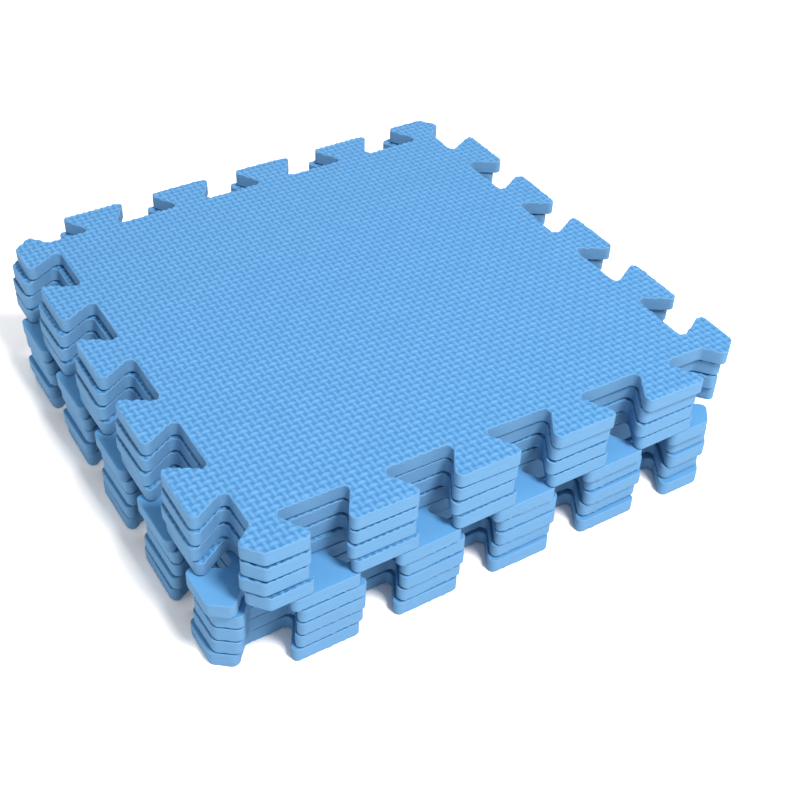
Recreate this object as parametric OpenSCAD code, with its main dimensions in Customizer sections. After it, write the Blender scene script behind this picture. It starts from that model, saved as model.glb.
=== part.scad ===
// A stack of nine foam mats whose toothed edges lock into each other on the work table.
// The upper mats lie with their patterned side up, the lower mats with it down.
// Millimetres. The origin is the middle of the stack's underside, +Z is up, and the side
// that is nearest to the viewer is along -Y.

/* [Mat] */

// Side of one mat between the middle lines of its toothed edges
mat_side = 300; // [280:1:360]

// Thickness of the foam sheet
mat_t = 9.5; // [6:0.5:15]

/* [Toothed edge] */

// Tabs along each side, with as many gaps between them
tabs = 5; // [3:1:5]

// How far a tab reaches past the bottom of the gap beside it
tab_depth = 23; // [16:0.5:26]

// How much a tab widens on each side between its middle line and its end
flare = 6.9; // [2:0.1:8]

// Length along the side of the sloping cut at each corner of a mat
corner_cut = 9.2; // [7:0.1:14]

// Radius of the rounded corners of the outline
corner_r = 3.4; // [1:0.1:3.6]

/* [Stack] */

// Mats at the bottom of the stack that lie with the patterned side down
turned_over = 5; // [0:1:9]

// How mat 1, the lowest, lies off the top mat: to +X, to +Y, and turned in degrees
lie_1 = [-5.8, 0.3, 0.7]; // [-12:0.1:12]

// How mat 2 lies off the top mat
lie_2 = [-6.2, 1.6, 1.6]; // [-12:0.1:12]

// How mat 3 lies off the top mat
lie_3 = [-4.4, 0.4, 1.3]; // [-12:0.1:12]

// How mat 4 lies off the top mat
lie_4 = [-5, 1.2, 1.7]; // [-12:0.1:12]

// How mat 5 lies off the top mat
lie_5 = [-6.8, 0, 1.1]; // [-12:0.1:12]

// How mat 6 lies off the top mat
lie_6 = [-2.9, 0.1, 1.1]; // [-12:0.1:12]

// How mat 7 lies off the top mat
lie_7 = [-3.5, 0.6, 0.7]; // [-12:0.1:12]

// How mat 8 lies off the top mat
lie_8 = [-2.2, 0.9, 0.7]; // [-12:0.1:12]

/* [Hidden] */

$fn = 48;
pitch = mat_side / tabs;
half_depth = tab_depth / 2;
rest_gap = 0.005; // clearance between two mats that rest on each other
foam_blue = [0.41, 0.68, 0.94];
lies = [lie_1, lie_2, lie_3, lie_4, lie_5, lie_6, lie_7, lie_8, [0, 0, 0]];

// Sharp corners of one side, from one corner of the mat to the next along +X, with the outside
// of the mat towards -Y. Turned half round, the line is the same, so every side locks into every
// other. The first tab starts at the mat's corner, so it has only one slanting side.
function side_corners() = concat(
    [[0, 0], [corner_cut, -half_depth]],
    [for (k = [0 : tabs - 1]) each concat(
        k > 0 ? [[k * pitch - flare, -half_depth]] : [],
        [[(k + 0.5) * pitch + flare, -half_depth]],
        [[(k + 0.5) * pitch - flare, half_depth]],
        k < tabs - 1 ? [[(k + 1) * pitch + flare, half_depth]] : [])],
    [[mat_side - corner_cut, half_depth]]);

function turned(p, a) = [p.x * cos(a) - p.y * sin(a), p.x * sin(a) + p.y * cos(a)];

// All sharp corners of a mat's outline, counter-clockwise, about the middle of the mat
corners = [for (side = [0 : 3]) for (p = side_corners())
    turned([p.x - mat_side / 2, p.y - mat_side / 2], 90 * side)];
last = len(corners) - 1;

// Directions from corner i to the corners before and after it, and half the angle between them
function back(i) = let (d = corners[i == 0 ? last : i - 1] - corners[i]) d / norm(d);
function ahead(i) = let (d = corners[i == last ? 0 : i + 1] - corners[i]) d / norm(d);
function half_angle(i) = acos(back(i) * ahead(i)) / 2;
function points_out(i) = cross(back(i), ahead(i)) < 0;

// The rounding of corner i: how far from the sharp corner it starts, and its centre
function start_of_arc(i) = corner_r / tan(half_angle(i));
function arc_centre(i) = let (d = back(i) + ahead(i))
    corners[i] + d / norm(d) * corner_r / sin(half_angle(i));

// Where a point of a mat's outline comes to lie when the mat is number k in the stack
function is_over(k) = k <= turned_over;
function laid(p, k) =
    turned(is_over(k) ? [p.y, p.x] : p, lies[k - 1].z) + [lies[k - 1].x, lies[k - 1].y];

// Middle of the stack in plan. The roundings that point out are what reaches furthest.
reach = [for (k = [1 : 9]) for (i = [0 : last]) if (points_out(i)) laid(arc_centre(i), k)];
reach_x = [for (p = reach) p.x];
reach_y = [for (p = reach) p.y];
middle = [max(reach_x) + min(reach_x), max(reach_y) + min(reach_y)] / 2;

module arcs(out) {
    for (i = [0 : last])
        if (points_out(i) == out)
            translate(arc_centre(i))
                circle(r = corner_r);
}

// The polygon cuts straight across every corner. The arcs fill in the corners that point out
// and hollow out the corners that point in.
module outline() {
    difference() {
        union() {
            polygon([for (i = [0 : last]) each
                [corners[i] + start_of_arc(i) * back(i), corners[i] + start_of_arc(i) * ahead(i)]]);
            arcs(true);
        }
        arcs(false);
    }
}

// One mat in its place in the stack. A mat is turned over about its diagonal.
module mat(k) {
    color(foam_blue)
        translate([lies[k - 1].x - middle.x, lies[k - 1].y - middle.y, (k - 1) * (mat_t + rest_gap)])
            rotate(lies[k - 1].z)
                translate([0, 0, is_over(k) ? mat_t : 0])
                    rotate(a = is_over(k) ? 180 : 0, v = [1, 1, 0])
                        linear_extrude(height = mat_t)
                            outline();
}

module mat_1() {
    mat(1);
}

module mat_2() {
    mat(2);
}

module mat_3() {
    mat(3);
}

module mat_4() {
    mat(4);
}

module mat_5() {
    mat(5);
}

module mat_6() {
    mat(6);
}

module mat_7() {
    mat(7);
}

module mat_8() {
    mat(8);
}

module mat_9() {
    mat(9);
}

mat_1();
mat_2();
mat_3();
mat_4();
mat_5();
mat_6();
mat_7();
mat_8();
mat_9();
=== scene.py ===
"""Nine foam blocking mats in a stack, patterned side up in the upper four, down in the rest.

Every mat is one closed mesh: an embossed woven face, a smooth face and a die-cut rim. The mesh
is made once, patterned side up about the middle of the mat, then laid on each CAD mat.
"""

import math

import bpy
import numpy as np
from mathutils import Matrix, Vector
from mathutils.geometry import delaunay_2d_cdt
from mathutils.kdtree import KDTree

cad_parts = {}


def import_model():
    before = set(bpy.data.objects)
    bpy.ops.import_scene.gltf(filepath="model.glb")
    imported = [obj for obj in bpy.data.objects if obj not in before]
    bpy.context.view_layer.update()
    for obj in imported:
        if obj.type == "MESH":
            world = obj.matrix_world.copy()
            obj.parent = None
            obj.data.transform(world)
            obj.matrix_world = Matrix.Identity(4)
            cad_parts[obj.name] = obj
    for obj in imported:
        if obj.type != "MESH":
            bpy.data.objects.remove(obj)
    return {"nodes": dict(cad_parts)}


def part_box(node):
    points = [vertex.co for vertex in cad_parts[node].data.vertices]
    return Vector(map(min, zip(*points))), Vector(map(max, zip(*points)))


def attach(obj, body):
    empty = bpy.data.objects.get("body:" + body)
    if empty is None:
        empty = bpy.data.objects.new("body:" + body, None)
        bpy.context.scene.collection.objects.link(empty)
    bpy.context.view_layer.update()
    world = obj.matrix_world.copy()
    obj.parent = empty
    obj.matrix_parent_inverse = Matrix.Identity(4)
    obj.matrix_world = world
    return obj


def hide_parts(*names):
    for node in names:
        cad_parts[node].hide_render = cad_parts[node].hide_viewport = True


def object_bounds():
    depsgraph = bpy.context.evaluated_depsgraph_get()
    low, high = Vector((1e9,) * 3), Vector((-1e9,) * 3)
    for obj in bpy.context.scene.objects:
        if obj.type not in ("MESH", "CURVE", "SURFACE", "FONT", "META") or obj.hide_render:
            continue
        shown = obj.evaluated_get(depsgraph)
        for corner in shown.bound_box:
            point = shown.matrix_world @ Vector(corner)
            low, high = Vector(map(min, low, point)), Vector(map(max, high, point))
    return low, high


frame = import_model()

CAD_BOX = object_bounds()
SEED = 20

# The mat, in millimetres, as in the CAD model
SIDE = 300.0
THICK = 9.5
TABS = 5
TAB_DEPTH = 23.0
FLARE = 6.9
CORNER_CUT = 9.2
CORNER_R = 3.4
MATS = 9
TURNED_OVER = 5

# The embossed weave, in millimetres and degrees
WEAVE_X = 8.0
WEAVE_Y = 8.7
COLUMN_TURN = 2.2
ROW_TURN = -1.5
WEAVE_DEPTH = 0.85

# Widths in the weave, from the middle to where the flat top ends and then over the slope
BAR_LENGTH = (0.95, 1.5)
BAR_WIDTH = (0.82, 0.56)
RIDGE_WIDTH = (0.64, 0.56)
RIDGE_LENGTH = (2.4, 1.1)
WEB_WIDTH = (0.7, 0.7)
RIDGE_TOP = 0.88
WEB_TOP = 0.3
PIT_FLOOR = 0.8
PIT_MOUTH = 1.36

# Spacing of points round the rim, the clear band between the rim and the weave's grid, and
# spacing of points over the smooth face, in millimetres
RIM_STEP = 1.3
RIM_CLEAR = 0.9
SMOOTH_STEP = 6.0

# The softened edge of the cut rim, the air left over each mat, how much each mat of the lower
# and of the upper group curls at a corner and how far out that is, and the wander of a cut with
# the lengths it wanders over, in millimetres
EDGE = 0.4
AIR = 0.42
CURL_LOWER = 0.1
CURL_UPPER = 0.2
CURL_REACH = 168.0
WANDER = 0.12
JITTER = 0.02
WANDER_X, WANDER_Y = 19, 21
JITTER_X, JITTER_Y = 4.3, 4.7

# Foam colours, dark and light of the clouding, and the painted shade at the bottom of the pits, a darker
# colour standing in for the shade that falls there
WOVEN = ((0.084, 0.236, 0.452), (0.092, 0.253, 0.476))
PAINTED_PIT_SHADE = (0.042, 0.167, 0.352)
SMOOTH = ((0.08, 0.244, 0.468), (0.087, 0.258, 0.488))
CUT = ((0.1, 0.24, 0.42), (0.12, 0.272, 0.468))

# Depths of the fine relief in the materials, in metres: cells of the skin, streaks and open
# cells of the cut
FINE_CELL = 0.00003
STREAK = 0.00012
OPEN_CELL = 0.00006


# ---------------------------------------------------------------- outline


def side_corners():
    """Sharp corners of one toothed side, from one corner of the mat to the next along +X."""
    pitch, half = SIDE / TABS, TAB_DEPTH / 2
    points = [(0, 0), (CORNER_CUT, -half)]
    for k in range(TABS):
        if k > 0:
            points.append((k * pitch - FLARE, -half))
        points.append(((k + 0.5) * pitch + FLARE, -half))
        points.append(((k + 0.5) * pitch - FLARE, half))
        if k < TABS - 1:
            points.append(((k + 1) * pitch + FLARE, half))
    return points + [(SIDE - CORNER_CUT, half)]


def all_corners():
    """Sharp corners of the whole outline, counter-clockwise, about the middle of the mat."""
    points = []
    for side in range(4):
        for x, y in side_corners():
            x, y = x - SIDE / 2, y - SIDE / 2
            for _ in range(side):
                x, y = -y, x
            points.append((x, y))
    return np.array(points)


def rounded(corners, radius, step):
    """Points along the outline with rounded corners, about step apart, and their normals."""
    points, normals = [], []
    count = len(corners)
    for i in range(count):
        back = corners[i - 1] - corners[i]
        ahead = corners[(i + 1) % count] - corners[i]
        back, ahead = back / np.linalg.norm(back), ahead / np.linalg.norm(ahead)
        half = math.acos(np.clip(back @ ahead, -1, 1)) / 2
        middle = (back + ahead) / np.linalg.norm(back + ahead)
        centre = corners[i] + middle * radius / math.sin(half)
        start = corners[i] + back * radius / math.tan(half) - centre
        end = corners[i] + ahead * radius / math.tan(half) - centre
        outward = 1 if back[0] * ahead[1] - back[1] * ahead[0] < 0 else -1
        a0 = math.atan2(start[1], start[0])
        turn = (math.atan2(end[1], end[0]) - a0 + math.pi) % (2 * math.pi) - math.pi
        parts = max(3, round(abs(turn) * radius / step))
        for k in range(parts + 1):
            a = a0 + turn * k / parts
            spoke = np.array([math.cos(a), math.sin(a)])
            points.append(centre + radius * spoke)
            normals.append(spoke * outward)
        # the straight stretch to the next corner
        following = corners[(i + 1) % count]
        next_half = math.acos(np.clip(-ahead @ unit(corners[(i + 2) % count] - following), -1, 1)) / 2
        first = points[-1]
        final = following - ahead * radius / math.tan(next_half)
        parts = max(1, round(np.linalg.norm(final - first) / step))
        for k in range(1, parts):
            points.append(first + (final - first) * k / parts)
            normals.append(np.array([ahead[1], -ahead[0]]))
    return np.array(points), np.array(normals)


def unit(v):
    return v / np.linalg.norm(v)


def inside(loop, points):
    """Which points lie inside the closed loop."""
    x, y = points[:, 0], points[:, 1]
    odd = np.zeros(len(points), bool)
    for (x1, y1), (x2, y2) in zip(loop, np.roll(loop, -1, 0)):
        if y1 == y2:
            continue
        crosses = ((y1 > y) != (y2 > y)) & (x < (x2 - x1) * (y - y1) / (y2 - y1) + x1)
        odd ^= crosses
    return odd


# ---------------------------------------------------------------- weave


def weave_axes():
    """One whole repeat of the weave along its rows and along its columns."""
    row, column = math.radians(ROW_TURN), math.radians(COLUMN_TURN)
    across = WEAVE_X * np.array([math.cos(row), math.sin(row)])
    along = WEAVE_Y * np.array([-math.sin(column), math.cos(column)])
    return across, along


def soft_box(distance, half, edge):
    """1 within half of the middle, falling smoothly to 0 over edge."""
    t = np.clip((half + edge - distance) / edge, 0, 1)
    return t * t * (3 - 2 * t)


def weave_height(points):
    """Height of the embossed pattern, from 0 in the pits to 1 on the wide bars."""
    uv = points @ np.linalg.inv(np.array(weave_axes()))
    height = np.zeros(len(points))
    for shift in (0.0, 0.5):
        s = np.abs((uv[:, 0] + shift + 0.5) % 1 - 0.5) * WEAVE_X
        t = np.abs((uv[:, 1] + shift + 0.5) % 1 - 0.5) * WEAVE_Y
        from_ridge = WEAVE_X / 2 - s
        bar = soft_box(s, *BAR_LENGTH) * soft_box(t, *BAR_WIDTH)
        ridge = RIDGE_TOP * soft_box(from_ridge, *RIDGE_WIDTH) * soft_box(t, *RIDGE_LENGTH)
        web = WEB_TOP * soft_box(t, *WEB_WIDTH)
        height = np.maximum(height, np.maximum(web, np.maximum(bar, ridge)))
    return height


def weave_lines(reach, repeat):
    """Places of the grid lines over some repeats, close together on the walls of the pits."""
    pit = repeat / 4
    half = np.array([pit - PIT_MOUTH, pit - PIT_FLOOR, pit + PIT_FLOOR, pit + PIT_MOUTH]) / repeat
    one = np.concatenate([half, half + 0.5])
    return (np.arange(-reach, reach)[:, None] + one).ravel()


# ---------------------------------------------------------------- mesh of one mat


def weave_grid(rim):
    """Nodes of a grid that follows the weave, and its whole squares inside the rim."""
    across, along = weave_axes()
    lines_u, lines_v = weave_lines(24, WEAVE_X), weave_lines(22, WEAVE_Y)
    u, v = np.meshgrid(lines_u, lines_v, indexing="ij")
    nodes = u.reshape(-1, 1) * across + v.reshape(-1, 1) * along
    rim_tree = tree_of(rim)
    core = SIDE / 2 - TAB_DEPTH / 2 - 2
    kept = (np.abs(nodes) < core).all(1)
    edge = np.flatnonzero(~kept & (np.abs(nodes) < SIDE / 2 + TAB_DEPTH / 2).all(1))
    edge = edge[inside(rim, nodes[edge])]
    far = [i for i in edge if rim_tree.find((*nodes[i], 0))[2] > RIM_CLEAR]
    kept[far] = True
    kept = kept.reshape(u.shape)
    squares = kept[:-1, :-1] & kept[1:, :-1] & kept[1:, 1:] & kept[:-1, 1:]
    index = np.arange(u.size).reshape(u.shape)
    a, b = np.nonzero(squares)
    quads = np.stack([index[a, b], index[a + 1, b], index[a + 1, b + 1], index[a, b + 1]], 1)
    return nodes, quads, (lines_u, lines_v, squares)


def tree_of(points):
    """A search tree over points in plan."""
    tree = KDTree(len(points))
    for i, (x, y) in enumerate(points):
        tree.insert((x, y, 0), i)
    tree.balance()
    return tree


def open_edges(faces):
    """Edges that only one face uses, in the face's own direction."""
    edges = np.concatenate([faces[:, [k, (k + 1) % faces.shape[1]]] for k in range(faces.shape[1])])
    key = np.sort(edges, 1)
    _, first, count = np.unique(key, axis=0, return_index=True, return_counts=True)
    return edges[first[count == 1]]


def woven_face(rim):
    """Points and faces of the patterned face: a grid with a band of triangles to the rim."""
    nodes, quads, grid = weave_grid(rim)
    used = np.unique(quads)
    new = np.full(len(nodes), -1)
    new[used] = np.arange(len(used)) + len(rim)
    quads = new[quads]
    points = np.concatenate([rim, nodes[used]])
    stairs = open_edges(quads)
    ring = np.arange(len(rim))
    wanted = np.unique(np.concatenate([ring, stairs.ravel()]))
    local = np.full(len(points), -1)
    local[wanted] = np.arange(len(wanted))
    edges = np.concatenate([np.stack([ring, np.roll(ring, -1)], 1), stairs])
    triangles = triangulate(points[wanted], local[edges])
    triangles = wanted[triangles]
    middle = points[triangles].mean(1)
    good = inside(rim, middle) & ~on_grid(middle, grid)
    return points, quads, triangles[good]


def on_grid(points, grid):
    """Which points lie in a whole square of the weave's grid."""
    lines_u, lines_v, squares = grid
    uv = points @ np.linalg.inv(np.array(weave_axes()))
    i = np.searchsorted(lines_u, uv[:, 0]) - 1
    j = np.searchsorted(lines_v, uv[:, 1]) - 1
    return squares[i, j]


def triangulate(points, edges):
    """Triangles between all points that keep to the edges, wound counter-clockwise."""
    made = delaunay_2d_cdt([Vector(p) for p in points], edges.tolist(), [], 0, 1e-5)
    _, _, faces, origin, _, _ = made
    first = [o[0] if o else -1 for o in origin]
    faces = np.array([[first[i] for i in f] for f in faces])
    faces = faces[(faces >= 0).all(1)]
    return faces[np.abs(plan_area(points, faces)) > 1e-5]


def plan_area(points, faces):
    """Twice the area of each triangle in plan, below 0 where it runs clockwise."""
    a, b, c = (points[faces[:, k]] for k in range(3))
    return (b - a)[:, 0] * (c - a)[:, 1] - (b - a)[:, 1] * (c - a)[:, 0]


def smooth_face(rim):
    """Points and triangles of the smooth face."""
    steps = np.arange(-SIDE, SIDE, SMOOTH_STEP)
    grid = np.stack(np.meshgrid(steps, steps), -1).reshape(-1, 2)
    grid = grid[(np.abs(grid) < SIDE / 2 + TAB_DEPTH / 2).all(1)]
    grid = grid[inside(rim, grid)]
    rim_tree = tree_of(rim)
    grid = np.array([p for p in grid if rim_tree.find((*p, 0))[2] > 2])
    points = np.concatenate([rim, grid])
    ring = np.arange(len(rim))
    triangles = triangulate(points, np.stack([ring, np.roll(ring, -1)], 1))
    return points, triangles[inside(rim, points[triangles].mean(1))]


def wound(points, faces):
    """The faces with every one counter-clockwise in plan."""
    area = plan_area(points, faces)
    faces[area < 0] = faces[area < 0][:, ::-1]
    return faces


def mat_template():
    """Points of one mat, patterned side up, its faces by material, and the rings with sharp edges."""
    outline, normal = rounded(all_corners(), CORNER_R, RIM_STEP)
    count = len(outline)
    inner = outline - normal * EDGE
    woven, quads, triangles = woven_face(inner)
    relief = weave_height(woven)
    height = THICK - WEAVE_DEPTH * (1 - relief)
    flat, flat_triangles = smooth_face(inner)
    points = np.concatenate(
        [
            np.column_stack([woven, height]),
            np.column_stack([flat, np.zeros(len(flat))]),
            np.column_stack([outline, np.full(count, EDGE)]),
            np.column_stack([outline, height[:count] - EDGE]),
        ]
    )
    low = len(woven) + len(flat)
    rings = [len(woven), low, low + count, 0]
    ring = np.arange(count)
    after = np.roll(ring, -1)
    wall = [np.stack([a + ring, a + after, b + after, b + ring], 1) for a, b in zip(rings, rings[1:])]
    triangles = wound(woven, triangles)
    flat_triangles = wound(flat, flat_triangles)[:, ::-1] + len(woven)
    parts = [(quads, 0), (triangles, 0), (flat_triangles, 1), (np.concatenate(wall), 2)]
    relief = np.concatenate([relief, np.ones(len(points) - len(woven))])
    return points, parts, [(start, count) for start in rings], relief


# ---------------------------------------------------------------- laying the mats


def plan_spin(vectors):
    """The fourfold direction of a set of plan vectors, weighted by their lengths."""
    turns = vectors @ np.array([1, 1j])
    return (turns**4 / np.abs(turns) ** 3).sum()


def lie_of(k, outline):
    """Middle of a CAD mat in plan, its lowest height, and how far it is turned, in millimetres."""
    name = f"mat_{k}"
    lo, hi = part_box(name)
    cut = [f for f in frame["nodes"][name].data.polygons if abs(f.normal.z) < 0.1]
    found = plan_spin(np.array([f.normal.xy * f.area for f in cut]))
    own = plan_spin(np.roll(outline, -1, 0) - outline)
    own = own.conjugate() if k <= TURNED_OVER else own
    return (lo + hi) / 2 * 1000, lo.z * 1000, np.angle(found / own) / 4


def gap_above(k):
    """How much of the height between mat k and the mat on it the foam's curl takes."""
    if k == MATS:
        return 0.0
    return CURL_LOWER if k < TURNED_OVER else CURL_UPPER


def curl(x, y):
    """From -1 to 1: the corner nearest the viewer and the one behind it curl up."""
    return np.clip(x * y / CURL_REACH**2, -1, 1)


def lay(points, k, outline):
    """The template's points as mat k of the stack, in metres."""
    middle, base, turn = lie_of(k, outline)
    x, y, z = points.T
    if k <= TURNED_OVER:
        x, y, z = y, x, THICK - z
    wobble = np.random.default_rng(SEED + k).uniform(0, 2 * math.pi, 6)
    x, y = (
        x + WANDER * np.sin(y / WANDER_X + wobble[0]) + JITTER * np.sin(y / JITTER_X + wobble[1]),
        y + WANDER * np.sin(x / WANDER_Y + wobble[2]) + JITTER * np.sin(x / JITTER_Y + wobble[3]),
    )
    z = z * (THICK - gap_above(k) - AIR) / THICK
    x, y = (
        x * math.cos(turn) - y * math.sin(turn) + middle.x,
        x * math.sin(turn) + y * math.cos(turn) + middle.y,
    )
    rise = sum(gap_above(j) for j in range(1, k))
    z = z + base + rise * curl(x, y)
    return np.stack([x, y, z], 1) / 1000


def mesh_from(name, points, parts, materials):
    """A mesh from points and (faces, material index) parts."""
    mesh = bpy.data.meshes.new(name)
    sizes = np.concatenate([np.full(len(f), f.shape[1]) for f, _ in parts])
    corners = np.concatenate([f.ravel() for f, _ in parts])
    mesh.vertices.add(len(points))
    mesh.loops.add(len(corners))
    mesh.polygons.add(len(sizes))
    mesh.vertices.foreach_set("co", points.ravel())
    mesh.loops.foreach_set("vertex_index", corners.astype(np.int32))
    mesh.polygons.foreach_set("loop_start", np.concatenate([[0], np.cumsum(sizes)[:-1]]).astype(np.int32))
    mesh.polygons.foreach_set("loop_total", sizes.astype(np.int32))
    kinds = np.concatenate([np.full(len(f), m) for f, m in parts])
    for material in materials:
        mesh.materials.append(material)
    mesh.polygons.foreach_set("material_index", kinds.astype(np.int32))
    mesh.update(calc_edges=True)
    mesh.polygons.foreach_set("use_smooth", np.ones(len(sizes), bool))
    return mesh


def sharpen(mesh, rings):
    """Marks the edges along the rings as sharp, where the cut rim meets a face."""
    edges = np.zeros(len(mesh.edges) * 2, np.int32)
    mesh.edges.foreach_get("vertices", edges)
    edges = edges.reshape(-1, 2)
    sharp = np.zeros(len(edges), bool)
    for start, count in rings:
        on = (edges >= start) & (edges < start + count)
        step = np.abs(edges[:, 0] - edges[:, 1])
        sharp |= on.all(1) & ((step == 1) | (step == count - 1))
    layer = mesh.attributes.new("sharp_edge", "BOOLEAN", "EDGE")
    layer.data.foreach_set("value", sharp)


# ---------------------------------------------------------------- materials


def new_material(name):
    material = bpy.data.materials.new(name)
    material.use_nodes = True
    tree = material.node_tree
    tree.nodes.clear()
    out = tree.nodes.new("ShaderNodeOutputMaterial")
    shader = tree.nodes.new("ShaderNodeBsdfPrincipled")
    shader.inputs["Specular IOR Level"].default_value = 0.1
    tree.links.new(shader.outputs[0], out.inputs[0])
    return material, tree, shader


def noise(tree, where, scale, detail, rough, stretch=(1, 1, 1)):
    """Noise over the mat's own coordinates, in repeats per metre."""
    mapping = tree.nodes.new("ShaderNodeMapping")
    mapping.inputs["Scale"].default_value = stretch
    tree.links.new(where, mapping.inputs[0])
    node = tree.nodes.new("ShaderNodeTexNoise")
    node.inputs["Scale"].default_value = scale
    node.inputs["Detail"].default_value = detail
    node.inputs["Roughness"].default_value = rough
    tree.links.new(mapping.outputs[0], node.inputs["Vector"])
    return node.outputs[0]


def ramp(tree, value, stops):
    """A colour ramp with (position, colour) stops."""
    node = tree.nodes.new("ShaderNodeValToRGB")
    while len(node.color_ramp.elements) < len(stops):
        node.color_ramp.elements.new(0.5)
    for element, (at, colour) in zip(node.color_ramp.elements, stops):
        element.position = at
        element.color = (*colour, 1)
    tree.links.new(value, node.inputs[0])
    return node.outputs[0]


def bump(tree, shader, value, depth, below=None):
    """Fine relief of the given depth in metres."""
    node = tree.nodes.new("ShaderNodeBump")
    node.inputs["Strength"].default_value = 1
    node.inputs["Distance"].default_value = depth
    tree.links.new(value, node.inputs["Height"])
    if below:
        tree.links.new(below, node.inputs["Normal"])
    tree.links.new(node.outputs[0], shader.inputs["Normal"])
    return node.outputs[0]


def with_painted_pit_shade(tree, colour, shade):
    """The colour, falling to a painted shade at the bottom of the embossed pattern, standing in for the
    shade that falls in the pits.
    """
    relief = tree.nodes.new("ShaderNodeAttribute")
    relief.attribute_name = "relief"
    mix = tree.nodes.new("ShaderNodeMix")
    mix.data_type = "RGBA"
    # the node's colour sockets are inputs 6 and 7 and output 2
    mix.inputs[6].default_value = (*shade, 1)
    tree.links.new(relief.outputs["Fac"], mix.inputs[0])
    tree.links.new(colour, mix.inputs[7])
    return mix.outputs[2]


def foam_skin(name, dark, light, rough, pore_depth, pit=None):
    """Closed-cell foam with its moulded skin: faint clouding and very fine cells."""
    material, tree, shader = new_material(name)
    where = tree.nodes.new("ShaderNodeTexCoord").outputs["Object"]
    cloud = noise(tree, where, 60, 4, 0.6)
    colour = ramp(tree, cloud, [(0.35, dark), (0.65, light)])
    # painted shade: the woven face's colour darkens towards the bottom of the pits, where shade falls
    if pit:
        colour = with_painted_pit_shade(tree, colour, pit)
    tree.links.new(colour, shader.inputs["Base Color"])
    grain = noise(tree, where, 1900, 3, 0.7)
    gloss = ramp(tree, grain, [(0.3, (rough - 0.07,) * 3), (0.7, (rough + 0.07,) * 3)])
    tree.links.new(gloss, shader.inputs["Roughness"])
    bump(tree, shader, grain, pore_depth)
    return material


def foam_cut(name, dark, light):
    """The die-cut rim: open cells, drawn out along the cut into faint level streaks."""
    material, tree, shader = new_material(name)
    where = tree.nodes.new("ShaderNodeTexCoord").outputs["Object"]
    streak = noise(tree, where, 150, 4, 0.65, (1, 1, 14))
    tree.links.new(ramp(tree, streak, [(0.3, dark), (0.7, light)]), shader.inputs["Base Color"])
    shader.inputs["Roughness"].default_value = 0.7
    cells = noise(tree, where, 2200, 2, 0.7)
    lines = bump(tree, shader, streak, STREAK)
    bump(tree, shader, cells, OPEN_CELL, lines)
    return material


def foam_materials():
    return [
        foam_skin("foam_woven_face", *WOVEN, rough=0.5, pore_depth=FINE_CELL, pit=PAINTED_PIT_SHADE),
        foam_skin("foam_smooth_face", *SMOOTH, rough=0.6, pore_depth=FINE_CELL),
        foam_cut("foam_cut_rim", *CUT),
    ]


# ---------------------------------------------------------------- studio


def floor():
    bpy.ops.mesh.primitive_plane_add(size=40, location=(0, 0, CAD_BOX[0].z))
    plane = bpy.context.object
    plane.name = "floor"
    material, tree, shader = new_material("white_paper")
    shader.inputs["Base Color"].default_value = (0.93, 0.93, 0.93, 1)
    shader.inputs["Roughness"].default_value = 0.9
    plane.data.materials.append(material)


def light(name, place, aim, size, power, colour=(1, 1, 1)):
    lamp = bpy.data.lights.new(name, "AREA")
    lamp.shape = "DISK"
    lamp.size = size
    lamp.energy = power
    lamp.color = colour
    lamp_object = bpy.data.objects.new(name, lamp)
    lamp_object.location = place
    lamp_object.rotation_euler = (Vector(aim) - Vector(place)).to_track_quat("-Z", "Y").to_euler()
    bpy.context.collection.objects.link(lamp_object)


def world(strength):
    made = bpy.data.worlds.new("studio")
    made.use_nodes = True
    background = made.node_tree.nodes["Background"]
    background.inputs[0].default_value = (1, 1, 1, 1)
    background.inputs[1].default_value = strength
    bpy.context.scene.world = made


def camera():
    """The camera at the photographed angle, about the middle of the CAD box."""
    bearing, height, distance = math.radians(29.4), math.radians(37.8), 0.7606
    heading, pitch, roll = math.radians(30.3), math.radians(39.8), math.radians(0.8)
    centre = (CAD_BOX[0] + CAD_BOX[1]) / 2
    level = distance * math.cos(height)
    away = Vector((-math.sin(bearing) * level, -math.cos(bearing) * level, distance * math.sin(height)))
    data = bpy.data.cameras.new("camera")
    data.sensor_width = 36
    data.lens = 56.4
    data.shift_x = 0.0436
    data.shift_y = -0.009
    made = bpy.data.objects.new("camera", data)
    look = Matrix.Rotation(-heading, 4, "Z") @ Matrix.Rotation(math.pi / 2 - pitch, 4, "X")
    made.matrix_world = Matrix.Translation(centre + away) @ look @ Matrix.Rotation(roll, 4, "Z")
    bpy.context.collection.objects.link(made)
    bpy.context.scene.camera = made


# ---------------------------------------------------------------- the stack


def build_mats():
    outline, _ = rounded(all_corners(), CORNER_R, RIM_STEP)
    points, parts, rings, relief = mat_template()
    materials = foam_materials()
    for k in range(1, MATS + 1):
        node = f"mat_{k}"
        mesh = mesh_from(f"foam_mat_{k}", lay(points, k, outline), parts, materials)
        sharpen(mesh, rings)
        mesh.attributes.new("relief", "FLOAT", "POINT").data.foreach_set("value", relief)
        mat = bpy.data.objects.new(f"foam_mat_{k}", mesh)
        bpy.context.collection.objects.link(mat)
        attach(mat, node)
        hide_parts(node)


build_mats()
floor()
world(0.85)
light("key", (0.16, -0.9, 1.5), (0, 0, 0), size=0.4, power=38, colour=(1, 0.97, 0.95))
light("back", (0.3, 1.2, 0.9), (0, 0, 0), size=0.6, power=5)
camera()
bpy.context.scene.view_settings.view_transform = "Standard"
